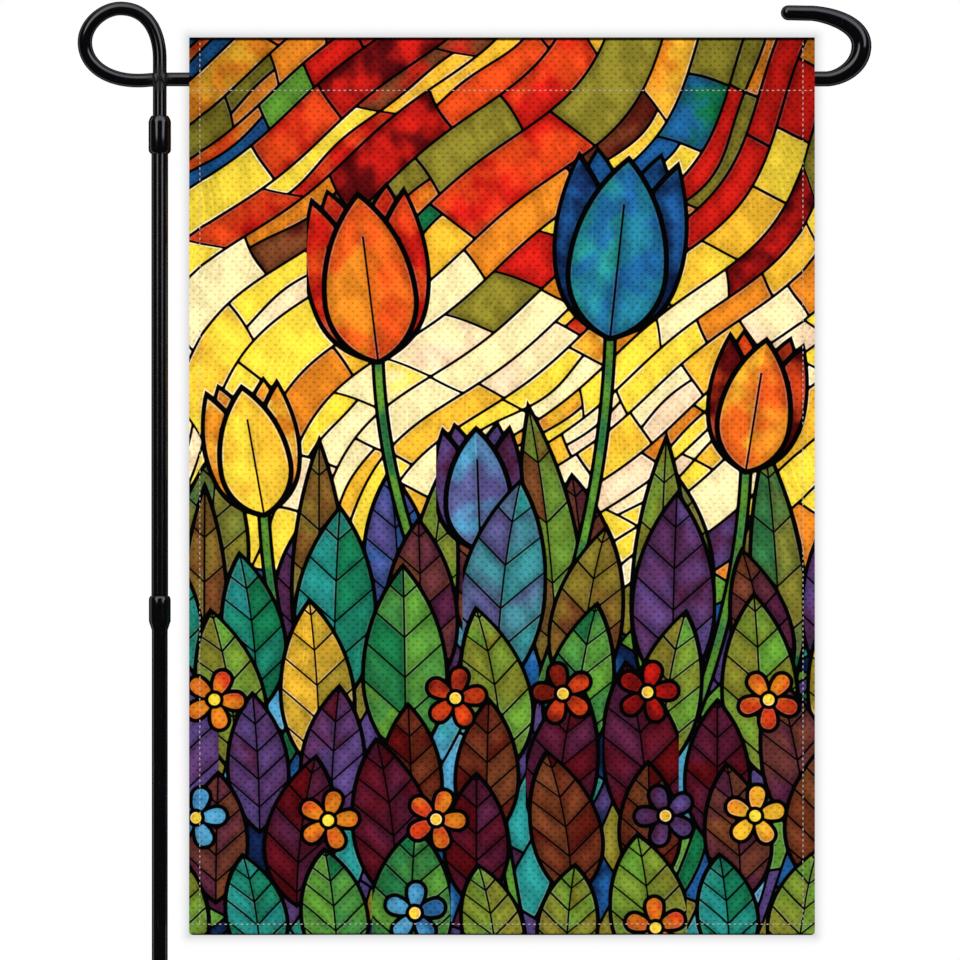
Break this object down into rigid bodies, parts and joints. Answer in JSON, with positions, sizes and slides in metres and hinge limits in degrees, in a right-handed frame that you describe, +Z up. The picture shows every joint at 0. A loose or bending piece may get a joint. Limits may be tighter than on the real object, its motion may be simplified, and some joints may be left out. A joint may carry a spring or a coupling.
{
  "type": "garden flag on its wire stand",
  "caption": "Printed cloth garden flag hung by its top sleeve from the level arm of a bent black wire stand, with a curled end, an open loop and a slim jointed tube pole.",
  "frame": {"origin": "middle of the pole's foot, at ground level", "axes": "+Z up along the pole, +X from the pole towards the curl at the far end of the arm, +Y behind the flag, whose printed face looks along -Y"},
  "size_m": [0.4034, 0.0181, 0.7999],
  "materials": {
    "printed_cloth": "woven polyester, printed, matt with a faint sheen",
    "black_enamel": "glossy black coating on steel"
  },
  "bodies": {
    "root": {"flag_cloth": "printed_cloth", "wire_arm": "black_enamel", "upper_pole": "black_enamel", "lower_pole": "black_enamel"}
  },
  "joints": []
}
